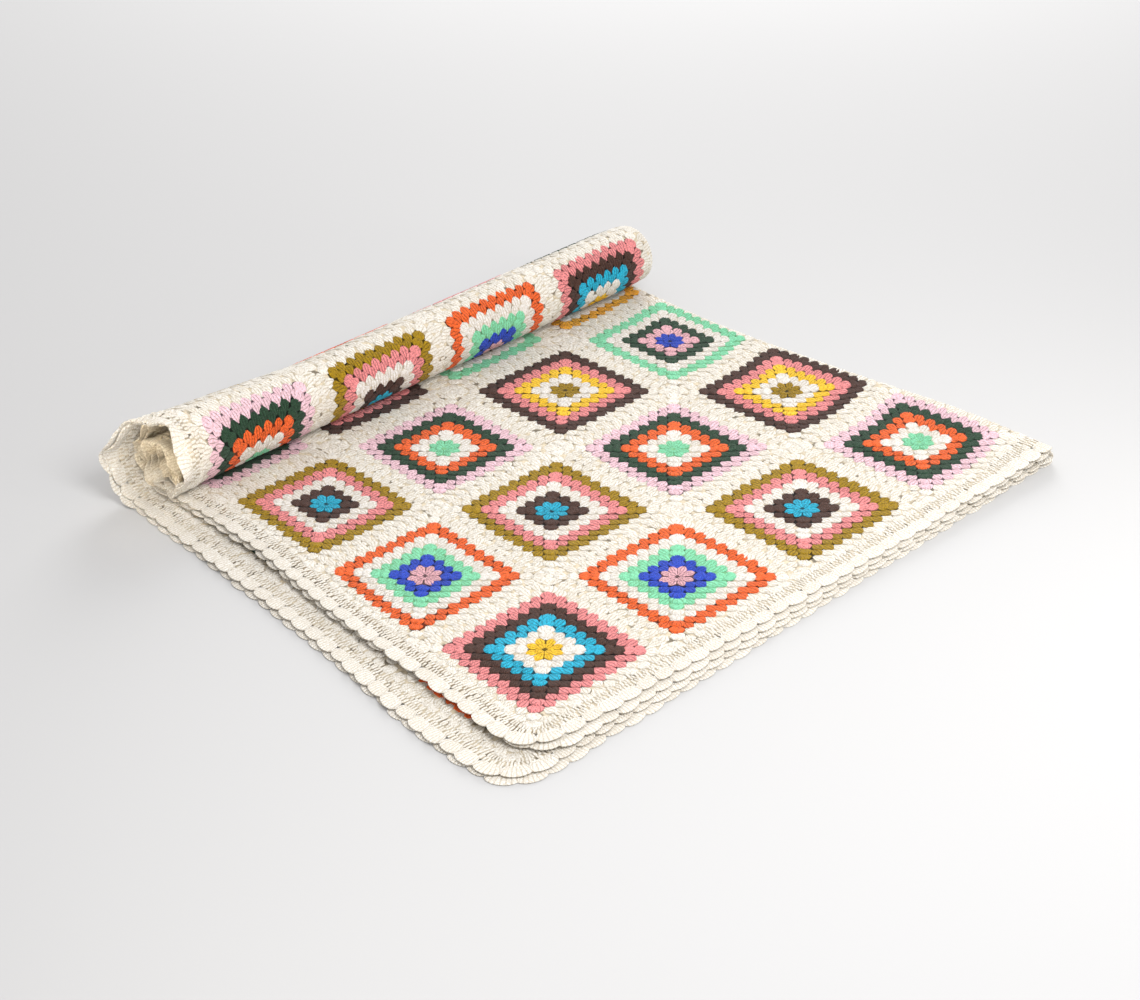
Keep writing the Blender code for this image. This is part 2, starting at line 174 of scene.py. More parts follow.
def folded(u, v, out):
    """Where points of the flat cloth lie in the stack; out is towards its outer face."""
    # It is drawn a little askew through the folds.
    slid = np.interp(u / PITCH, SLID_ACROSS, (0, 1, 1, 0)) / 1000
    steps, through, back = np.array(SLID).T
    u = u - slid * np.interp(v / PITCH, steps, through)
    v = v + slid * np.interp(v / PITCH, steps, back)

    # The first fold, end over end: two layers, pair 0 and 1.
    rim = LAYER_STEP / 2
    start = FIRST_FOLD - rim * math.pi / 2
    turn = np.clip((v - start) / rim, 0, math.pi)
    along = np.where(v > 2 * FIRST_FOLD - start, 2 * FIRST_FOLD - v, v)
    in_fold = (turn > 0) & (turn < math.pi)
    along = np.where(in_fold, start + (rim + out) * np.sin(turn), along)
    depth = 0.5 - (rim + out) / LAYER_STEP * np.cos(turn)
    pair = 0.5 - np.cos(turn) / 2

    # The second fold, in half across: four layers, from 0 at the bottom to 3 on top.
    reach = (1.5 - pair) * LAYER_STEP * math.pi / 2
    bend = np.clip((u - SECOND_FOLD + reach) / (2 * reach), 0, 1)
    far_tip = (ACROSS - 1) * PITCH + TIP
    near = (u + TIP) / (SECOND_FOLD - reach + TIP)
    far = (far_tip - u) / (far_tip - SECOND_FOLD - reach)
    share = np.minimum(np.where(bend < 0.5, near, far), 1)
    spread = (1.5 - depth) * LAYER_STEP
    level = 1.5 + spread / LAYER_STEP * np.cos(bend * math.pi)
    layer = 3 - pair - (3 - 2 * pair) * bend

    # The angle round the roll, and from it the layers' stepped edges and pulled columns.
    drop = COIL_STEP / (2 * math.pi)
    core = ROLL_RADIUS - CLOTH / 2
    wound = np.clip((along - ROLL_START) * ROLL_STRETCH, 0, core**2 / (2 * drop))
    angle = (core - np.sqrt(core**2 - 2 * drop * wound)) / drop
    flat = along <= ROLL_START
    flat_edges, roll_edges = read(FLAT_EDGES, along / PITCH), read(ROLL_EDGES, np.degrees(angle))
    edges = np.where(flat[:, None], flat_edges, roll_edges) * PITCH
    edge = between(edges[:, 3::-1], layer)
    x = edge + (edges[:, 4] - edge) * share
    knots = np.array([-TIP, 0, PITCH, 2 * PITCH, 3 * PITCH, SECOND_FOLD - 1.5 * rim * math.pi])
    places = read(TOP_COLUMNS, along / PITCH) * PITCH
    places = np.column_stack([edges[:, 0], places, edges[:, 4]])
    spot = np.clip(np.searchsorted(knots, u) - 1, 0, 4)
    pulled = between(places, spot + (u - knots[spot]) / (knots[spot + 1] - knots[spot]))
    pull = np.where(layer > 2.999, pulled - x, 0) * np.clip(1 - angle / TOP_COLUMNS_END, 0, 1)
    x = x + np.where(bend > 0, 0, pull)

    # The front edges and the loose lift of the upper layers.
    height = CLOTH / 2 + level * LAYER_STEP
    side = (x - edges[:, 3]) / (edges[:, 4] - edges[:, 3])
    axis = ROLL_AXIS_OPEN + (ROLL_AXIS_FOLD - ROLL_AXIS_OPEN) * side
    front = between(np.tile(FRONT_TIPS, (len(u), 1)), layer)
    front = (front + (FRONT_FOLD - front) * np.clip(share, 0, None)) * PITCH
    flat_y = front + (along + TIP) * (axis - front) / (ROLL_START + TIP)
    tops = [0.0] + [(squares * PITCH + TIP) / (SECOND_FOLD + TIP) for squares in range(4)] + [1.0]
    spot = np.clip(np.searchsorted(tops, share) - 1, 0, 4)
    part = np.clip((share - np.take(tops, spot)) / np.take(np.diff(tops), spot), 0, 1)
    lift = between(read(LIFT, along / PITCH), spot + part * part * (3 - 2 * part)) / 1000
    lift = lift * between(np.tile(LIFT_SHARES, (len(u), 1)), layer)

    # The roll, a spiral that flares at its open end and closes in at its fold.
    centre = ROLL_RADIUS + ROLL_TAPER * (2 * side - 1)
    opening = np.clip(1 - (x - edges[:, 3]) / FLARE_WIDTH, 0, 1)
    closing = np.clip(1 - (edges[:, 4] - x) / NIP_WIDTH, 0, 1)
    shift = END_FLARE * opening * np.sin(np.clip(angle / 2, 0, math.pi)) ** 2
    shift = shift - END_NIP * closing * np.sin(np.clip(angle / 2, 0, math.pi / 2)) ** 2
    radius = centre - height - COIL_STEP * angle / (2 * math.pi) + shift
    y = np.where(flat, flat_y, axis + radius * np.sin(angle))
    z = np.where(flat, height + lift, centre - radius * np.cos(angle))
    x = x + spread * np.sin(bend * math.pi)
    return np.column_stack([x - MIDDLE_ACROSS, y - MIDDLE_ALONG, z])


def round_corners(u, v):
    """Rounds the four corners of the joined squares."""
    results = []
    middle_u, middle_v = (ACROSS - 1) / 2 * PITCH, (ALONG - 1) / 2 * PITCH
    inner_u, inner_v = middle_u + EDGE - CORNER_RADIUS, middle_v + EDGE - CORNER_RADIUS
    past_u = np.clip(np.abs(u - middle_u) - inner_u, 0, CORNER_RADIUS)
    past_v = np.clip(np.abs(v - middle_v) - inner_v, 0, CORNER_RADIUS)
    for way, middle, own, other in ((u, middle_u, past_u, past_v), (v, middle_v, past_v, past_u)):
        kept = own * np.sqrt(1 - other**2 / (2 * CORNER_RADIUS**2))
        results.append(way - np.sign(way - middle) * (own - kept))
    return results


# The yarns' screen colours, and the eight colourings, from the flower in the middle to the outline.
# A square has the colouring after that of the squares before it in its row and in its column. Each
# colour goes round twice, and two cream rounds lie outside.
YARNS = {
    "cream": (238, 235, 229),
    "white": (233, 230, 227),
    "yellow": (255, 206, 50),
    "turquoise": (42, 184, 218),
    "brown": (80, 54, 45),
    "salmon": (246, 150, 150),
    "powder": (240, 184, 192),
    "blue": (46, 78, 200),
    "mint": (134, 220, 178),
    "orange": (250, 108, 48),
    "olive": (170, 136, 22),
    "green": (46, 74, 54),
    "lilac": (247, 208, 222),
    "ochre": (250, 180, 52),
}
COLOURINGS = (
    ("yellow", "white", "turquoise", "brown", "salmon"),
    ("powder", "blue", "mint", "white", "orange"),
    ("turquoise", "brown", "white", "salmon", "olive"),
    ("mint", "white", "orange", "green", "lilac"),
    ("olive", "white", "yellow", "salmon", "brown"),
    ("blue", "powder", "green", "white", "mint"),
    ("salmon", "green", "turquoise", "white", "ochre"),
    ("white", "orange", "powder", "blue", "green"),
)


def linear(name):
    """A yarn's colour, from screen values to light."""
    screen = np.array(YARNS[name]) / 255
    light = np.where(screen > 0.04045, ((screen + 0.055) / 1.055) ** 2.4, screen / 12.92)
    return [*light, 1.0]


PALETTE = np.array([[linear(name) for name in (*row, "cream")] for row in COLOURINGS])
CREAM = np.array(linear("cream"))


def colours_at(u, v, rounds):
    """The yarn's colour in the square at each place, for its round from 0 in the middle."""
    column = np.clip(np.round(u / PITCH), 0, ACROSS - 1).astype(int)
    row = np.clip(np.round(v / PITCH), 0, ALONG - 1).astype(int)
    band = np.clip(rounds // 2, 0, 5).astype(int)
    return PALETTE[(row + column) % len(COLOURINGS), band]


def wire(tree, kind, inputs=(), **settings):
    """A node with its inputs set, or linked where the value is another node's output."""
    made = tree.nodes.new(kind)
    for name, value in settings.items():
        setattr(made, name, value)
    for key, value in dict(inputs).items():
        if isinstance(value, bpy.types.NodeSocket):
            tree.links.new(value, made.inputs[key])
        else:
            made.inputs[key].default_value = value
    return made


def cotton(title, roughness):
    """A new cotton finish: its material, node tree and shader."""
    material = bpy.data.materials.new(title)
    material.use_nodes = True
    tree = material.node_tree
    surface = tree.nodes["Principled BSDF"]
    looks = {
        "Roughness": roughness,
        "Specular IOR Level": 0.15,
        "Sheen Weight": 0.08,
        "Sheen Roughness": 0.5,
    }
    for name, value in looks.items():
        surface.inputs[name].default_value = value
    return material, tree, surface


def ground_cotton():
    """The same yarn, deep between the stitches, darkened with painted shade."""
    material, tree, surface = cotton("ground_cotton", 0.95)
    yarn = wire(tree, "ShaderNodeAttribute", attribute_name="yarn")
    place = wire(tree, "ShaderNodeTexCoord")
    fibre = wire(
        tree,
        "ShaderNodeTexNoise",
        {"Vector": place.outputs["Object"], "Scale": 420.0, "Detail": 3.0},
    )
    level = wire(
        tree,
        "ShaderNodeMapRange",
        {
            "Value": fibre.outputs["Fac"],
            "From Min": 0.3,
            "From Max": 0.7,
            "To Min": 0.7,
            "To Max": 1.15,
        },
    )
    patch = wire(
        tree,
        "ShaderNodeTexNoise",
        {"Vector": place.outputs["Object"], "Scale": 90.0, "Detail": 1.0},
    )
    patchy_painted_shade = wire(  # painted shade, some gaps as dark as the layer below, others less
        tree,
        "ShaderNodeMapRange",
        {
            "Value": patch.outputs["Fac"],
            "From Min": 0.33,
            "From Max": 0.45,
            "To Min": 0.35,
            "To Max": 1.1,
        },
    )
    both = wire(
        tree,
        "ShaderNodeMath",
        {0: level.outputs["Result"], 1: patchy_painted_shade.outputs["Result"]},
        operation="MULTIPLY",
    )
    toned = wire(
        tree, "ShaderNodeHueSaturation", {"Value": both.outputs[0], "Color": yarn.outputs["Color"]}
    )
    tree.links.new(toned.outputs["Color"], surface.inputs["Base Color"])
    relief = wire(
        tree,
        "ShaderNodeBump",
        {"Height": fibre.outputs["Fac"], "Strength": 0.8, "Distance": 0.0008},
    )
    tree.links.new(relief.outputs["Normal"], surface.inputs["Normal"])
    return material


GROUND_OUT, GROUND_IN = -0.0001, -0.0008  # its two faces, out of the middle of the cloth
GROUND_SHADE = 0.10  # painted shade: how dark the yarn is made deep between the stitches
PALE_SHADE = (0.66, 0.585, 0.46)  # painted shade for the pale yarns, tan rather than grey
BOWL_SHADE = (1.0, 0.90, 0.72)  # painted warm shade on the cream inside the roll's open end
SLIT_SHADE = (0.36, 0.30, 0.22)  # painted shade under the slits of the top layer's open side
HIDDEN_SHADE = 0.9  # a slight painted shade on the cloth hidden in the folds and the roll
NEAR_A_BEND = 0.002  # no line of the sheet lies closer than this to a line of a bend
WOUND_FROM = 2.7 * PITCH  # past here the sheet's lines lie closer, for the roll
WIDEST_WOUND = 0.008  # and no farther apart than this


def ground_lines(squares, bends):
    """Lines over the cloth one way: two rounds apart, and closer where it bends."""
    lines = [-EDGE, squares * PITCH - PITCH + EDGE]
    for square in range(squares):
        lines += [square * PITCH + side * ROUND for side in range(-ROUNDS, ROUNDS + 1, 2)]
        lines.append((square + 0.5) * PITCH if square < squares - 1 else -PITCH / 2)
    clear = [line for line in lines if all(abs(line - bend) > NEAR_A_BEND for bend in bends)]
    return np.array(sorted(clear + bends))


second_reach = 1.5 * LAYER_STEP * math.pi / 2
across_bends = [SECOND_FOLD + second_reach * step / 4 for step in range(-4, 5)]
along_bends = [FIRST_FOLD + LAYER_STEP / 4 * math.pi * step / 3 for step in range(-3, 4)]
lines_u = ground_lines(ACROSS, across_bends)
lines_v = ground_lines(ALONG, along_bends)
wound_to = 2 * FIRST_FOLD - WOUND_FROM
extra = []
for low, high in zip(lines_v, lines_v[1:]):
    if WOUND_FROM < low < wound_to and high - low > WIDEST_WOUND:
        extra += [low + (high - low) / 3, low + (high - low) * 2 / 3]
lines_v = np.sort(np.append(lines_v, extra))

grid_u, grid_v = (axis.ravel() for axis in np.meshgrid(lines_u, lines_v))
flat_u, flat_v = round_corners(grid_u, grid_v)
skins = np.vstack([folded(flat_u, flat_v, out) for out in (GROUND_OUT, GROUND_IN)])
wide, long = len(lines_u), len(lines_v)
index = np.arange(wide * long).reshape(long, wide)
cells = np.stack([index[:-1, :-1], index[:-1, 1:], index[1:, 1:], index[1:, :-1]], axis=-1)
cells = cells.reshape(-1, 4)
ring = np.concatenate([index[0, :-1], index[:-1, -1], index[-1, :0:-1], index[:0:-1, 0]])
next_ring = np.roll(ring, -1)
walls = np.stack([ring, next_ring, next_ring + wide * long, ring + wide * long], axis=-1)
faces = np.vstack([cells, cells[:, ::-1] + wide * long, walls[:, ::-1]])
mesh = bpy.data.meshes.new("joined_squares_ground")
mesh.from_pydata(skins.tolist(), [], faces.tolist())

# The ground's painted shade: dark where the eye looks between stitches, warm cream in the roll's
# end.
mid_u, mid_v = (line[faces % (wide * long)].mean(axis=1) for line in (grid_u, grid_v))
local_u = mid_u - np.clip(np.round(mid_u / PITCH), 0, ACROSS - 1) * PITCH
local_v = mid_v - np.clip(np.round(mid_v / PITCH), 0, ALONG - 1) * PITCH
rounds = np.maximum(np.abs(local_u), np.abs(local_v)) // ROUND
yarn_with_painted_shade = colours_at(mid_u, mid_v, rounds)
pale = yarn_with_painted_shade[:, 1] > 0.7
outer_face = np.arange(len(faces)) < len(cells)
seen_top = (mid_u < SECOND_FOLD) & (mid_v < 3.2 * PITCH)  # as far as under the roll
seen_under = (mid_u > SECOND_FOLD) & (mid_v < 4.5 * PITCH)  # the underside and round the roll
seen_third = (mid_u > (ACROSS - 0.6) * PITCH) & (mid_v > 5.5 * PITCH)  # beside the top layers
seen_bowl = (mid_u < 0.5 * PITCH) & (mid_v < 4.5 * PITCH)  # in the roll's open end
seen = (seen_top | seen_under | seen_third | seen_bowl) & outer_face
# painted shade on the ground: dark where it is seen between the stitches, a little where it is
# hidden
shade = np.where(seen, GROUND_SHADE, HIDDEN_SHADE)
yarn_with_painted_shade[:, :3] *= np.where((pale & seen)[:, None], PALE_SHADE, shade[:, None])
yarn_with_painted_shade[seen_bowl & seen & (mid_v > ROLL_START), :3] = CREAM[:3] * BOWL_SHADE
yarn_with_painted_shade[(mid_u < -PITCH / 2) & seen_top & seen, :3] = CREAM[:3] * SLIT_SHADE
# at the third layer's front corner the ground is painted in the cream's painted shade
tucked_in = (mid_u > (ACROSS - 0.8) * PITCH) & (mid_v > (ALONG - 0.95) * PITCH)  # the front corner
yarn_with_painted_shade[tucked_in & outer_face, :3] = CREAM[:3] * PALE_SHADE
# the yarn attribute carries the yarn's colour with the painted shade in it
layer = mesh.attributes.new("yarn", "FLOAT_COLOR", "FACE")
layer.data.foreach_set("color", yarn_with_painted_shade.ravel())
mesh.shade_smooth()
ground = bpy.data.objects.new("joined_squares_ground", mesh)
bpy.context.scene.collection.objects.link(ground)
mesh.materials.append(ground_cotton())
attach(ground, "root")
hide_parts("joined_squares")

# ---- The squares' rounds -----------------------------------------------------------------------
# Each round is worked in clusters of three tall stitches, one cluster in each gap of the round
# before, and two in a corner. A cluster is narrow at its foot and fans out to its top, so the
# colours bite into each other. Each colour goes round twice.
BETWEEN_POSTS = 0.35  # a stitch's rise between its posts, as a share of theirs
WRAP_LENGTH = 0.0021  # of the yarn's ply, along a post


def stitch_mesh(name, rows, ridges, rim_rise, two_faced):
    """A stitch or cluster: rows of (way out, half width, rise, bow), raised in ridges across."""
    data = bpy.data.meshes.new(name)
    columns = 2 * ridges + 1
    points, uvs = [], []
    for way, half, rise, bow in rows:
        for column in range(columns):
            across = column / (columns - 1) * 2 - 1
            on_ridge = column % 2
            rim = column in (0, columns - 1)
            swell = 1.0 if on_ridge else (rim_rise if rim else BETWEEN_POSTS)
            reach = way - bow * across**2 - (bow if not on_ridge else 0)
            points.append((across * half, reach, rise * swell))
            uvs.append((column / 2, way / WRAP_LENGTH))
    count = len(points)
    quads = []
    for row in range(len(rows) - 1):
        for column in range(columns - 1):
            a = row * columns + column
            quads.append((a, a + 1, a + 1 + columns, a + columns))
    if two_faced:
        points += [(x, y, -z) for x, y, z in points]
        uvs += uvs
        quads += [tuple(corner + count for corner in reversed(quad)) for quad in quads]
    data.from_pydata(points, [], quads)
    layer = data.uv_layers.new(name="UVMap")
    layer.data.foreach_set("uv", [value for loop in data.loops for value in uvs[loop.vertex_index]])
    data.shade_smooth()
    return bpy.data.objects.new(name, data)


def worked_tree(name, stitch, material):
    """Lays one stitch on each point, turned and sized as the point says, no two quite alike."""
    tree = bpy.data.node_groups.new(name, "GeometryNodeTree")
    shape = "NodeSocketGeometry"
    tree.interface.new_socket("Geometry", in_out="INPUT", socket_type=shape)
    for label, value in (("Turn jitter", 0.12), ("Size jitter", 0.08), ("Place jitter", 0.0004)):
        jitter = tree.interface.new_socket(label, in_out="INPUT", socket_type="NodeSocketFloat")
        jitter.default_value = value
    tree.interface.new_socket("Seed", in_out="INPUT", socket_type="NodeSocketInt").default_value = 7
    tree.interface.new_socket("Geometry", in_out="OUTPUT", socket_type=shape)
    given = wire(tree, "NodeGroupInput").outputs
    seed = given["Seed"]
    shade = wire(tree, "FunctionNodeRandomValue", {"Seed": seed})
    shaded = wire(
        tree,
        "GeometryNodeStoreNamedAttribute",
        {"Geometry": given["Geometry"], "Name": "shade", "Value": shade.outputs[1]},
    )
    low_turn = wire(
        tree, "ShaderNodeMath", {0: given["Turn jitter"], 1: -1.0}, operation="MULTIPLY"
    )
    sway = wire(
        tree,
        "FunctionNodeRandomValue",
        {2: low_turn.outputs[0], 3: given["Turn jitter"], "Seed": seed},
    )
    turn = wire(tree, "GeometryNodeInputNamedAttribute", {"Name": "turn"}, data_type="FLOAT")
    turned = wire(tree, "ShaderNodeMath", {0: turn.outputs[0], 1: sway.outputs[1]}, operation="ADD")
    angles = wire(tree, "ShaderNodeCombineXYZ", {"Z": turned.outputs[0]})
    rotation = wire(tree, "FunctionNodeEulerToRotation", {0: angles.outputs[0]})
    least = wire(tree, "ShaderNodeMath", {0: 1.0, 1: given["Size jitter"]}, operation="SUBTRACT")
    most = wire(tree, "ShaderNodeMath", {0: 1.0, 1: given["Size jitter"]}, operation="ADD")
    number = wire(tree, "GeometryNodeInputIndex")
    growth = wire(
        tree,
        "FunctionNodeRandomValue",
        {2: least.outputs[0], 3: most.outputs[0], "ID": number.outputs[0], "Seed": seed},
    )
    size = wire(tree, "GeometryNodeInputNamedAttribute", {"Name": "size"}, data_type="FLOAT_VECTOR")
    sized = wire(
        tree,
        "ShaderNodeVectorMath",
        {0: size.outputs[0], "Scale": growth.outputs[1]},
        operation="SCALE",
    )
    lowest = wire(tree, "ShaderNodeMath", {0: given["Place jitter"], 1: -1.0}, operation="MULTIPLY")
    strays = []
    for step in (11.0, 12.0):
        own_seed = wire(tree, "ShaderNodeMath", {0: seed, 1: step}, operation="ADD")
        stray = wire(
            tree,
            "FunctionNodeRandomValue",
            {2: lowest.outputs[0], 3: given["Place jitter"], "Seed": own_seed.outputs[0]},
        )
        strays.append(stray.outputs[1])
    strayed = wire(tree, "ShaderNodeCombineXYZ", {"X": strays[0], "Y": strays[1]})
    placed = wire(
        tree,
        "GeometryNodeSetPosition",
        {"Geometry": shaded.outputs[0], "Offset": strayed.outputs[0]},
    )
    single = wire(tree, "GeometryNodeObjectInfo", {"Object": stitch})
    laid = wire(
        tree,
        "GeometryNodeInstanceOnPoints",
        {
            "Points": placed.outputs[0],
            "Instance": single.outputs["Geometry"],
            "Rotation": rotation.outputs[0],
            "Scale": sized.outputs[0],
        },
    )
    real = wire(tree, "GeometryNodeRealizeInstances", {"Geometry": laid.outputs[0]})
    finish = wire(
        tree, "GeometryNodeSetMaterial", {"Geometry": real.outputs[0], "Material": material}
    )
    wire(tree, "NodeGroupOutput", {"Geometry": finish.outputs[0]})
    return tree


def worked(name, tree, places, lie, seed, jitters=()):
    """Works a piece flat, then lays it where lie(x, y, height) puts its points."""
    mesh = bpy.data.meshes.new(name)
    mesh.from_pydata([(x, y, 0) for x, y in zip(places["x"], places["y"])], [], [])
    for label, kind, key in (
        ("turn", "FLOAT", "value"),
        ("size", "FLOAT_VECTOR", "vector"),
        ("yarn", "FLOAT_COLOR", "color"),
    ):
        mesh.attributes.new(label, kind, "POINT").data.foreach_set(key, places[label].ravel())
    piece = bpy.data.objects.new(name, mesh)
    bpy.context.scene.collection.objects.link(piece)
    modifier = piece.modifiers.new("worked", "NODES")
    modifier.node_group = tree
    for socket in tree.interface.items_tree:
        if socket.name == "Seed":
            modifier[socket.identifier] = seed
        elif socket.name in dict(jitters):
            modifier[socket.identifier] = dict(jitters)[socket.name]
    evaluated = piece.evaluated_get(bpy.context.evaluated_depsgraph_get())
    result = bpy.data.meshes.new_from_object(evaluated)
    piece.modifiers.clear()
    piece.data = result
    result.name = name
    spots = np.empty(len(result.vertices) * 3)
    result.vertices.foreach_get("co", spots)
    x, y, z = spots.reshape(-1, 3).T
    result.vertices.foreach_set("co", lie(x, y, z).ravel())
    result.update()
    return piece


def worked_cotton(name, crease_shade):
    """Soft plied cotton wrapped across each post; crease_shade: painted shade between the posts."""
    material, tree, surface = cotton(name, 0.85)
    yarn = wire(tree, "ShaderNodeAttribute", attribute_name="yarn")
    shade = wire(tree, "ShaderNodeAttribute", attribute_name="shade")
    place = wire(tree, "ShaderNodeTexCoord")
    fibre = wire(
        tree,
        "ShaderNodeTexNoise",
        {"Vector": place.outputs["Object"], "Scale": 620.0, "Detail": 3.0, "Roughness": 0.6},
    )
    wraps = wire(
        tree,
        "ShaderNodeTexWave",
        {
            "Vector": place.outputs["UV"],
            "Scale": 0.8,
            "Distortion": 3.0,
            "Detail": 2.0,
            "Detail Scale": 1.6,
        },
        bands_direction="DIAGONAL",
    )
    height = wire(
        tree, "ShaderNodeMath", {0: wraps.outputs["Fac"], 1: fibre.outputs["Fac"]}, operation="ADD"
    )
    speck = wire(
        tree,
        "ShaderNodeMapRange",
        {
            "Value": fibre.outputs["Fac"],
            "From Min": 0.38,
            "From Max": 0.62,
            "To Min": 0.64,
            "To Max": 1.10,
        },
    )
    wrap = wire(
        tree, "ShaderNodeMapRange", {"Value": wraps.outputs["Fac"], "To Min": 0.84, "To Max": 1.04}
    )
    spot = wire(tree, "ShaderNodeSeparateXYZ", {"Vector": place.outputs["UV"]})
    sway = wire(tree, "ShaderNodeMath", {0: fibre.outputs["Fac"], 1: 0.3}, operation="MULTIPLY")
    shifted = wire(
        tree, "ShaderNodeMath", {0: spot.outputs["X"], 1: sway.outputs[0]}, operation="ADD"
    )
    middle = wire(tree, "ShaderNodeMath", {0: shifted.outputs[0], 1: -0.15}, operation="ADD")
    crest = wire(tree, "ShaderNodeMath", {0: middle.outputs[0], 1: 0.5}, operation="PINGPONG")
    # painted shade in the creases between the posts
    valley_shade = wire(
        tree,
        "ShaderNodeMapRange",
        {
            "Value": crest.outputs[0],
            "From Min": 0.0,
            "From Max": 0.2,
            "To Min": crease_shade,
            "To Max": 1.0,
        },
    )
    own = wire(
        tree, "ShaderNodeMapRange", {"Value": shade.outputs["Fac"], "To Min": 0.93, "To Max": 1.03}
    )
    level = own
    for part in (speck, wrap, valley_shade):
        both = {0: level.outputs[0], 1: part.outputs[0]}
        level = wire(tree, "ShaderNodeMath", both, operation="MULTIPLY")
    tint = wire(tree, "ShaderNodeSeparateColor", {"Color": yarn.outputs["Color"]})
    paleness = {"Value": tint.outputs["Green"], "From Min": 0.55, "From Max": 0.75, "To Min": 1.0}
    # Pale yarn lets light through, so the painted shade of its hollows is made shallow.
    depth = wire(tree, "ShaderNodeMapRange", {**paleness, "To Max": 0.65})
    shallow = wire(tree, "ShaderNodeMath", {0: level.outputs[0], 1: -1.0}, operation="ADD")
    eased = wire(
        tree,
        "ShaderNodeMath",
        {0: shallow.outputs[0], 1: depth.outputs[0], 2: 1.0},
        operation="MULTIPLY_ADD",
    )
    level = wire(tree, "ShaderNodeMath", {0: eased.outputs[0], 1: 1.05}, operation="MINIMUM")
    dimmed = wire(tree, "ShaderNodeCombineXYZ")
    for axis, pale_power in enumerate((0.8, 1.0, 1.35)):  # its painted shade turns tan, not grey
        power = wire(tree, "ShaderNodeMapRange", {**paleness, "To Max": pale_power})
        raised = {0: level.outputs[0], 1: power.outputs[0]}
        dim = wire(tree, "ShaderNodeMath", raised, operation="POWER")
        tree.links.new(dim.outputs[0], dimmed.inputs[axis])
    toned = wire(
        tree,
        "ShaderNodeVectorMath",
        {0: yarn.outputs["Color"], 1: dimmed.outputs[0]},
        operation="MULTIPLY",
    )
    tree.links.new(toned.outputs[0], surface.inputs["Base Color"])
    relief = wire(
        tree, "ShaderNodeBump", {"Height": height.outputs[0], "Strength": 0.7, "Distance": 0.0007}
    )
    tree.links.new(relief.outputs["Normal"], surface.inputs["Normal"])
    return material


CREASE_SHADE = 0.24  # painted shade: the yarn's tone between the posts
CLUSTER_WIDTH = 2 * ROUND
CLUSTER_ROWS = (  # way out, half width, rise, bow
    (-0.0022, 0.0021, 0.0003, 0.0),
    (0.0004, 0.0034, 0.0006, 0.0),
    (0.0026, 0.0048, 0.0011, 0.0),
    (0.0048, 0.0054, 0.0014, 0.0001),
    (0.0074, 0.0042, 0.0013, 0.0005),
    (0.0095, 0.0023, 0.0006, 0.0008),
)
FLOWER_OUT, FLOWER_LENGTH = 0.0030, 0.55  # the first round's four petals
RING_OUT, RING_WIDTH = 0.0072, 0.80  # the second round's ring of eight
CORNER_LEAN = 0.44  # how far the two clusters of a corner lean to it, in radians
CORNER_GROWTH = 1.16
CORNER_CUT = (0.10, 0.09, 0.08, 0.065, 0.06, 0.06, 0.06, 0.06, 0.055, 0.05, 0.03, 0.0)  # by round
STITCH_FOOT = -0.0003  # height of the stitches' feet, out of the middle of the cloth
LOOSE_TURN, LOOSE_PLACE = 0.20, 0.0006  # how unevenly the two cream rounds are worked
SLACK_SIDE = 0.4 * PITCH  # up from a square's middle, where drawn-in rounds are narrowest

cluster = stitch_mesh("cluster", CLUSTER_ROWS, 3, 0.4, two_faced=False)
yarn_finish = worked_cotton("worked_cotton", CREASE_SHADE)
cluster_tree = worked_tree("rounds_of_clusters", cluster, yarn_finish)


def square_clusters():
    """The clusters of one square: across and up from its middle, turn, width, length and round."""
    rows = []
    for number in range(1, ROUNDS + 1):
        for side in range(4):
            for spot in range(number):
                heading = side * math.pi / 2
                length, width = 1.0, 1.0
                if number == 1:
                    x, y, lean, length = 0.0, FLOWER_OUT, 0.0, FLOWER_LENGTH
                elif number == 2:
                    lean, width = math.pi / 8 * (1 - 2 * spot), RING_WIDTH
                    x, y = -RING_OUT * math.sin(lean), RING_OUT * math.cos(lean)
                else:
                    x = (spot - (number - 1) / 2) * CLUSTER_WIDTH
                    y = (number - 1) * ROUND
                    lean = -math.copysign(CORNER_LEAN, x) * (x / y) ** 4
                    width = 1 + (CORNER_GROWTH - 1) * (x / y) ** 8
                    inset = 1 - CORNER_CUT[number - 1] * (x / y) ** 4
                    x, y = x * inset, y * inset
                turned_x = x * math.cos(heading) - y * math.sin(heading)
                turned_y = x * math.sin(heading) + y * math.cos(heading)
                rows.append((turned_x, turned_y, heading + lean, width, length, number - 1))
    return np.array(rows)


ONE_SQUARE = square_clusters()


def cluster_places(columns, rows, keep, drawn_in=0.0):
    """The clusters of many squares, where keep(u, v) holds; drawn_in widens the cream rounds."""
    blocks = []
    hand = np.random.default_rng(15)
    for column in columns:
        for row in rows:
            block = ONE_SQUARE.copy()
            coloured = block[:, 5] < ROUNDS - 2
            upper = np.clip(block[:, 1] / SLACK_SIDE, 0, 1)
            block[:, 0] *= np.where(coloured, 1 - drawn_in * (1 + 2 * upper), 1)
            block[:, 1] *= np.where(coloured, 1 - drawn_in, 1)
            stray = hand.normal(0, 1, (len(block), 3)) * (LOOSE_PLACE, LOOSE_PLACE, LOOSE_TURN)
            block[:, :3] += np.where(coloured[:, None], 0, stray)
            block[:, 0] += column * PITCH
            block[:, 1] += row * PITCH
            middle_u = np.full(len(block), column * PITCH)
            middle_v = np.full(len(block), row * PITCH)
            blocks.append(np.column_stack([block, colours_at(middle_u, middle_v, block[:, 5])]))
    table = np.vstack(blocks)
    table = table[keep(table[:, 0], table[:, 1])]
    return {
        "x": table[:, 0],
        "y": table[:, 1],
        "turn": table[:, 2],
        "size": np.column_stack([table[:, 3], table[:, 4], np.ones(len(table))]),
        "yarn": table[:, 6:10],
    }


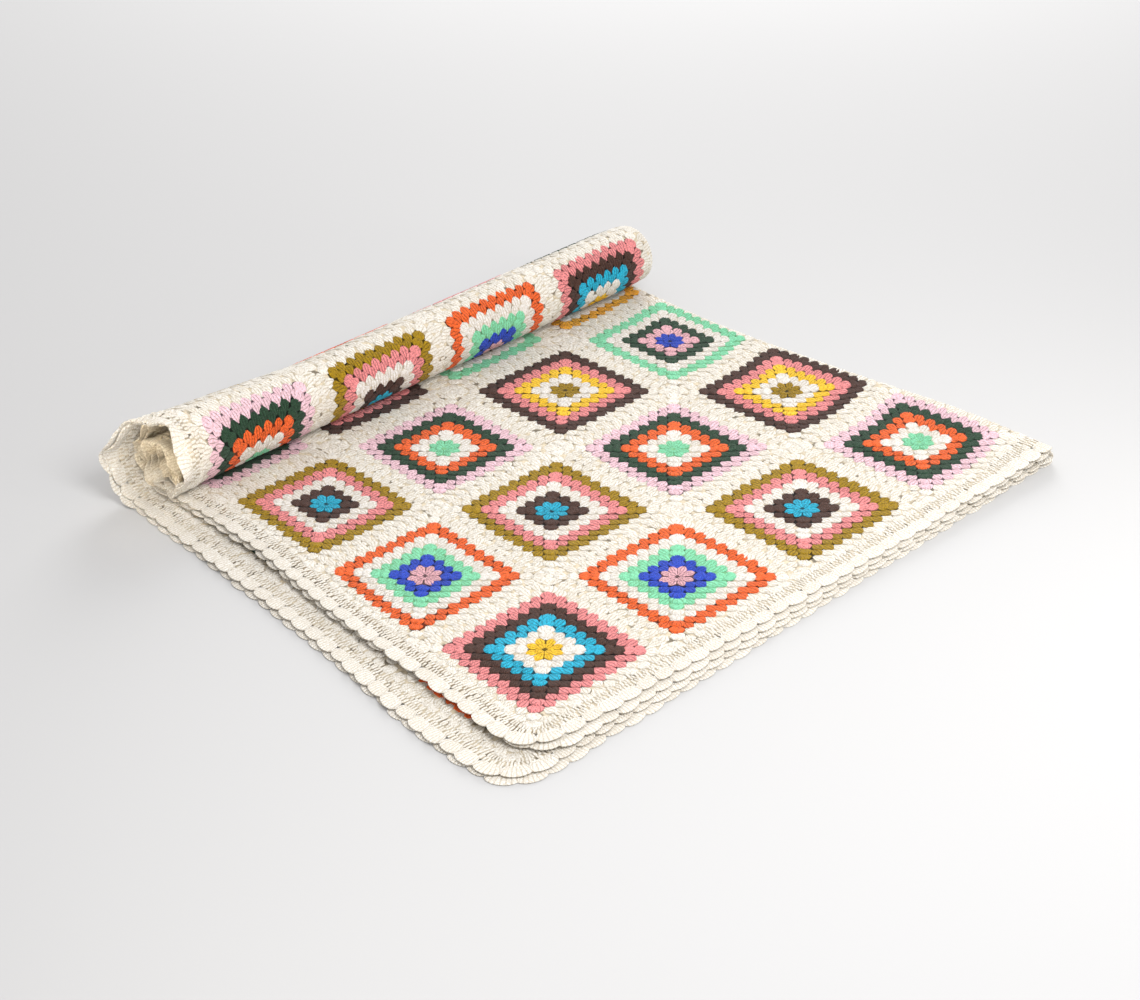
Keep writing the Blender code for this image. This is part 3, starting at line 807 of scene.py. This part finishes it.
def lie_flat_side_out(x, y, z):
    """Lays worked squares on the cloth's outer face."""
    u, v = round_corners(x, y)
    return folded(u, v, z + STITCH_FOOT)


# How far each part is worked: what lies farther in the folds or the roll can't be seen.
TOP_END, UNDER_END, ROLL_END = 3.0 * PITCH, 2.5 * PITCH, 4.35 * PITCH
BOWL_DEPTH, BOWL_END = 0.4 * PITCH, 4.4 * PITCH
THIRD_FROM_U, THIRD_FROM_V, THIRD_DRAWN_IN = 7 * PITCH + 6 * ROUND, 5.6 * PITCH, 0.07


def on_near_side(u, v):
    """The top layer, and inside the roll's open end."""
    return (v < TOP_END) | ((u < BOWL_DEPTH) & (v < BOWL_END))


def on_top_side(u, v):
    """The top layer, as far as the second fold."""
    return (u < SECOND_FOLD) & (v < TOP_END)


def on_underside(u, v):
    """The bottom layer, from the second fold on."""
    return (u > SECOND_FOLD) & (v < UNDER_END)


def round_the_roll(u, v):
    """The bottom layer where it is the roll's outside."""
    return (u > SECOND_FOLD) & (v > UNDER_END) & (v < ROLL_END)


def on_third_layer(u, v):
    """The strip of the third layer beside the top ones."""
    return (u > THIRD_FROM_U) & (v > THIRD_FROM_V)


near_edges = cluster_places(range(0, 2), range(0, 5), on_near_side)
on_top = cluster_places(range(2, 4), range(0, 4), on_top_side)
under_open = cluster_places(range(6, 8), range(0, 3), on_underside)
under_fold = cluster_places(range(3, 6), range(0, 3), on_underside)
round_roll = cluster_places(range(3, 8), range(2, 5), round_the_roll)
third_layer = cluster_places(range(7, 8), range(5, 11), on_third_layer, THIRD_DRAWN_IN)
rounds_top = worked("rounds_on_top", cluster_tree, on_top, lie_flat_side_out, 3)
rounds_near = worked("rounds_near_edges", cluster_tree, near_edges, lie_flat_side_out, 2)
rounds_under = worked("rounds_underneath", cluster_tree, under_open, lie_flat_side_out, 4)
rounds_fold = worked("rounds_under_fold", cluster_tree, under_fold, lie_flat_side_out, 10)
rounds_roll = worked("rounds_on_roll", cluster_tree, round_roll, lie_flat_side_out, 5)
rounds_third = worked("rounds_of_third_layer", cluster_tree, third_layer, lie_flat_side_out, 11)
squares_pieces = [rounds_near, rounds_top, rounds_under, rounds_fold, rounds_roll, rounds_third]
for piece in squares_pieces:
    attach(piece, "root")

# ---- The joints and the border rows ------------------------------------------------------------
# The squares are joined along their last rounds with a row of short stitches. Three plain rows of
# upright stitches run round the joined squares, with narrow slits between the stitches. Both are
# worked in the cream cotton.
POST_WIDTH = 0.0034
POST_ROWS = (  # way out, half width, rise, bow
    (-0.0004, 0.0010, 0.0006, 0.0),
    (0.0012, 0.0013, 0.0011, 0.0),
    (0.0038, 0.0013, 0.0011, 0.0),
    (0.0054, 0.0010, 0.0006, 0.0),
)
post = stitch_mesh("post", POST_ROWS, 1, 0.2, two_faced=True)
post_tree = worked_tree("rows_of_posts", post, yarn_finish)
ROLL_PAINTED_WARMTH = np.array([1.07, 1.0, 0.85, 1.0])  # painted warm shade deep in the roll's end
INNER_LAYERS = 0.7  # how much of that the inner layers take
INNER_TURN = 1.35 * PITCH  # how far in from the roll's start all of the cloth takes it


def cream_with_painted_warmth_at(u, v):
    """Cream yarn for places on the flat cloth, with painted warm shade inside the roll."""
    along = np.where(v > FIRST_FOLD, 2 * FIRST_FOLD - v, v)
    inner_layers = np.where(u < SECOND_FOLD, INNER_LAYERS, 0.0) * (along > ROLL_START + 0.1 * PITCH)
    inner_turn = np.clip((along - ROLL_START - INNER_TURN) / (0.3 * PITCH), 0, 1)
    depth = np.maximum(inner_layers, inner_turn)[:, None]
    return CREAM * (1 - depth + depth * ROLL_PAINTED_WARMTH)


def post_places(x, y, turn, yarn, width=1.0, rise=1.0):
    """Posts at the given places."""
    return {
        "x": x,
        "y": y,
        "turn": turn,
        "size": np.tile([width, 1.0, rise], (len(x), 1)),
        "yarn": yarn,
    }


JOINT_WIDTH, JOINT_RISE = 1.3, 0.8  # the posts over the joints are wider and close their slits
HALF_POST = 0.0025


def joint_places(columns, rows, keep):
    """Posts across the joints of many squares."""
    per_side = round(PITCH / POST_WIDTH)
    ways = (np.arange(per_side) + 0.5) * PITCH / per_side - PITCH / 2
    xs, ys, turns = [], [], []
    for column in columns:
        for row in rows:
            xs += [column * PITCH + ways, np.full(per_side, (column + 0.5) * PITCH + HALF_POST)]
            ys += [np.full(per_side, (row + 0.5) * PITCH - HALF_POST), row * PITCH + ways]
            turns += [np.zeros(per_side), np.full(per_side, math.pi / 2)]
    x, y, turn = np.concatenate(xs), np.concatenate(ys), np.concatenate(turns)
    inside = (x < (ACROSS - 1) * PITCH + PITCH / 2) & keep(x, y)
    x, y, turn = x[inside], y[inside], turn[inside]
    return post_places(x, y, turn, cream_with_painted_warmth_at(x, y), JOINT_WIDTH, JOINT_RISE)


def top_or_outside(u, v):
    """Where the joints can be seen on the cloth's outer face."""
    outside = (u > SECOND_FOLD - 0.002) & (v < ROLL_END)
    edge = (ACROSS - 1) * PITCH + PITCH / 2 - 0.001
    return (on_top_side(u, v) | outside) & (u < edge)


over_joints = joint_places(range(ACROSS), range(5), top_or_outside)
joints = worked("joints_of_squares", post_tree, over_joints, lie_flat_side_out, 6)
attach(joints, "root")


def outline(way, out):
    """Points of the flat cloth at ways round its border, and out of it, with rounded corners."""
    across = (ACROSS - 1) * PITCH + 2 * EDGE - 2 * CORNER_RADIUS
    along = (ALONG - 1) * PITCH + 2 * EDGE - 2 * CORNER_RADIUS
    bend = CORNER_RADIUS * math.pi / 2
    starts, spots, done = [], [], 0.0
    u, v, heading = -EDGE + CORNER_RADIUS, -EDGE, 0.0
    for length in (across, along, across, along):
        spots.append((u, v, heading, 0.0))
        starts.append(done)
        u, v = u + length * math.cos(heading), v + length * math.sin(heading)
        spots.append((u, v, heading, 1.0))
        starts.append(done + length)
        u += CORNER_RADIUS * (math.cos(heading) - math.sin(heading))
        v += CORNER_RADIUS * (math.sin(heading) + math.cos(heading))
        heading += math.pi / 2
        done += length + bend
    way = np.mod(way, done)
    piece = np.clip(np.searchsorted(starts, way, side="right") - 1, 0, 7)
    u, v, heading, bends = np.array(spots)[piece].T
    reach = way - np.array(starts)[piece]
    turned = heading + np.where(bends > 0, reach / CORNER_RADIUS, 0)
    corner_u = CORNER_RADIUS * (np.sin(turned) - np.sin(heading))
    corner_v = -CORNER_RADIUS * (np.cos(turned) - np.cos(heading))
    u = u + np.where(bends > 0, corner_u, reach * np.cos(heading))
    v = v + np.where(bends > 0, corner_v, reach * np.sin(heading))
    return u + out * np.sin(turned), v - out * np.cos(turned)


STRAIGHT_SIDES = 2 * ((ACROSS + ALONG - 2) * PITCH + 4 * EDGE - 4 * CORNER_RADIUS)
WHOLE = STRAIGHT_SIDES + 2 * math.pi * CORNER_RADIUS  # the way round the cloth
RUFFLE, RUFFLE_LENGTH, CROSS_RUFFLE = 0.0052, 0.034, 0.053  # the waves of the roll's free edge
RUFFLE_FOOT, RUFFLE_REACH = 0.010, 0.022  # they begin this far in, and are full this far from there


def lie_round_border(x, y, z):
    """Lays what is worked along a straight line round the cloth's border; y points out of it."""
    u, v = outline(x, y)
    along = np.where(v > FIRST_FOLD, 2 * FIRST_FOLD - v, v)
    upward = np.where((u > SECOND_FOLD) == (v > FIRST_FOLD), 1.0, -1.0)
    wound = np.clip((along - ROLL_START) / (0.5 * PITCH), 0, 1)
    wave = np.sin(2 * math.pi * along / RUFFLE_LENGTH)
    wave = wave + 0.5 * np.sin(2 * math.pi * along / CROSS_RUFFLE + 1)
    free = np.clip((y + RUFFLE_FOOT) / RUFFLE_REACH, 0, 1) ** 2
    return folded(u, v, z * (1 + wound) + upward * RUFFLE * wound * wave * free)


BORDER_FEET = (-0.0158, -0.0106, -0.0052)  # where the three rows begin, from the cloth's edge
UNEVEN = {"Turn jitter": 0.17, "Size jitter": 0.12, "Place jitter": 0.0006}
posts = round(WHOLE / POST_WIDTH)
ways = np.arange(posts) * WHOLE / posts
border_x = np.concatenate([ways, ways + POST_WIDTH / 2, ways])
border_y = np.repeat(BORDER_FEET, posts)
border_yarn_and_warmth = cream_with_painted_warmth_at(*outline(border_x, border_y))
border_posts = post_places(border_x, border_y, np.zeros(len(border_x)), border_yarn_and_warmth)
border = worked("border_rows", post_tree, border_posts, lie_round_border, 8, UNEVEN)
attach(border, "root")

# ---- The shell edging --------------------------------------------------------------------------
# A round of shells: eight tall stitches worked into one place fan out to a scallop, then the next
# place is skipped. It is worked onto the border rows in the same cream cotton.
SHELL_WIDTH = 0.0198
SHELL_OVERLAP, SHELL_TILT = 1.10, 0.00015  # each shell lies with one side over the next
FAN_STITCHES = 8
FAN_FOOT, FAN_FOOT_WIDTH = -0.0008, 0.0148
FAN_SIDE, FAN_CROWN, FAN_TIP = 0.0068, 0.0054, 0.0003  # out to its sides, its middle, its stitches
FAN_ROWS = ((0.0, 0.0006), (0.4, 0.0010), (0.86, 0.0009), (1.0, 0.0004))  # share of the way, rise
FAN_VALLEY = 0.55  # its rise between the stitches, as a share of theirs
FAN_WRAPS = 6  # wraps of ply along a stitch
SHELL_CREASE_SHADE = 0.48  # painted shade: the yarn's tone between the stitches


def shell_mesh():
    """One scallop, raised in ridges on both faces and closed round its rim."""
    columns = 2 * FAN_STITCHES - 1
    points, tilts, uvs = [], [], []
    for share, rise in FAN_ROWS:
        spread = 1 - (1 - share) ** 2
        for column in range(columns):
            across = column / (columns - 1) * 2 - 1
            foot_x = across * FAN_FOOT_WIDTH / 2
            ridge = 1.0 if column % 2 == 0 else FAN_VALLEY
            tip_x = across * SHELL_OVERLAP * SHELL_WIDTH / 2
            tip_y = FAN_SIDE + FAN_CROWN * math.sqrt(max(1 - across**2, 0)) + FAN_TIP * ridge
            x = foot_x + (tip_x - foot_x) * spread
            y = FAN_FOOT + (tip_y - FAN_FOOT) * share
            points.append((x, y, rise * ridge))
            tilts.append(SHELL_TILT * across)
            uvs.append((column / 2 + 0.5, share * FAN_WRAPS))
    count, quads = len(points), []
    for row in range(3):
        for column in range(columns - 1):
            a = row * columns + column
            quads.append((a, a + 1, a + 1 + columns, a + columns))
    quads += [tuple(corner + count for corner in reversed(quad)) for quad in quads]
    ring = list(range(columns)) + [row * columns + columns - 1 for row in (1, 2, 3)]
    ring += [3 * columns + column for column in range(columns - 2, -1, -1)] + [2 * columns, columns]
    for a, b in zip(ring, ring[1:] + ring[:1]):
        quads.append((b, a, a + count, b + count))
    points += [(x, y, -z) for x, y, z in points]
    points = [(x, y, z + tilt) for (x, y, z), tilt in zip(points, tilts * 2)]
    data = bpy.data.meshes.new("shell")
    data.from_pydata(points, [], quads)
    uvs += uvs
    layer = data.uv_layers.new(name="UVMap")
    layer.data.foreach_set("uv", [value for loop in data.loops for value in uvs[loop.vertex_index]])
    data.shade_smooth()
    data.set_sharp_from_angle(angle=math.radians(50))
    return bpy.data.objects.new("shell", data)


shell = shell_mesh()
shell_finish = worked_cotton("shell_cotton", SHELL_CREASE_SHADE)
shell_tree = worked_tree("round_of_shells", shell, shell_finish)
shells = round(WHOLE / SHELL_WIDTH)
shell_ways, on_edge = (np.arange(shells) + 0.5) * WHOLE / shells, np.zeros(shells)
shell_yarn_and_warmth = cream_with_painted_warmth_at(*outline(shell_ways, on_edge))
shell_places = post_places(shell_ways, on_edge, on_edge, shell_yarn_and_warmth)
edging = worked("scalloped_shells", shell_tree, shell_places, lie_round_border, 9)
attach(edging, "root")
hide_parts("shell_edging")
for pattern in (cluster, post, shell):
    bpy.data.objects.remove(pattern)

# ---- The floor and the light -------------------------------------------------------------------
# A plain pale floor in a pale room. A soft lamp stands over the front and a stronger one far
# behind, and three small cards throw light into the roll's open end and between the layers' edges.
FLOOR_REACH = 20.0
FLOOR_CORNERS = ((-1, -1), (1, -1), (1, 1), (-1, 1))
FLOOR_GREY = (0.508, 0.506, 0.506, 1)
ROOM_TINT, ROOM_LIGHT = (1.0, 0.99, 0.99, 1), 0.81
floor_mesh = bpy.data.meshes.new("floor")
corners = [(side * FLOOR_REACH, end * FLOOR_REACH, 0) for side, end in FLOOR_CORNERS]
floor_mesh.from_pydata(corners, [], [(0, 1, 2, 3)])
floor = bpy.data.objects.new("floor", floor_mesh)
bpy.context.scene.collection.objects.link(floor)
paper = bpy.data.materials.new("pale_paper")
paper.use_nodes = True
paper.node_tree.nodes["Principled BSDF"].inputs["Base Color"].default_value = FLOOR_GREY
paper.node_tree.nodes["Principled BSDF"].inputs["Roughness"].default_value = 0.9
floor_mesh.materials.append(paper)

world = bpy.data.worlds.new("room")
world.use_nodes = True
world.node_tree.nodes["Background"].inputs["Color"].default_value = ROOM_TINT
world.node_tree.nodes["Background"].inputs["Strength"].default_value = ROOM_LIGHT
bpy.context.scene.world = world


def lamp(name, place, aim, size, power, spread=180, colour=(1, 1, 1)):
    """A square soft lamp that faces a point, its light spread over so many degrees."""
    light = bpy.data.lights.new(name, "AREA")
    light.size, light.energy = size, power
    light.spread, light.color = math.radians(spread), colour
    thing = bpy.data.objects.new(name, light)
    thing.visible_camera = False
    bpy.context.scene.collection.objects.link(thing)
    thing.location = place
    way = [b - a for a, b in zip(place, aim)]
    flat = math.hypot(way[0], way[1])
    thing.rotation_euler = (math.atan2(flat, -way[2]), 0, math.atan2(way[1], way[0]) - math.pi / 2)


lamp("key", (-0.11, -0.91, 1.2), (0, 0, 0), 0.8, 16.4)
lamp("back", (2.25, 1.92, 1.37), (0, 0, 0), 1.6, 67)
roll_mouth = (-0.28, 0.25, 0.045)
front_tiers, left_tiers = (0.20, -0.28, 0.01), (-0.28, -0.15, 0.01)
lamp("card by the roll", (-0.62, 0.10, 0.17), roll_mouth, 0.08, 0.028, 30, (1, 0.88, 0.70))
lamp("card in front", (0.66, -1.14, 0.28), front_tiers, 0.36, 0.72, 70, (1, 0.98, 0.94))
lamp("card at the left", (-1.05, -0.60, 0.22), left_tiers, 0.3, 0.19, 80, (1, 0.95, 0.86))
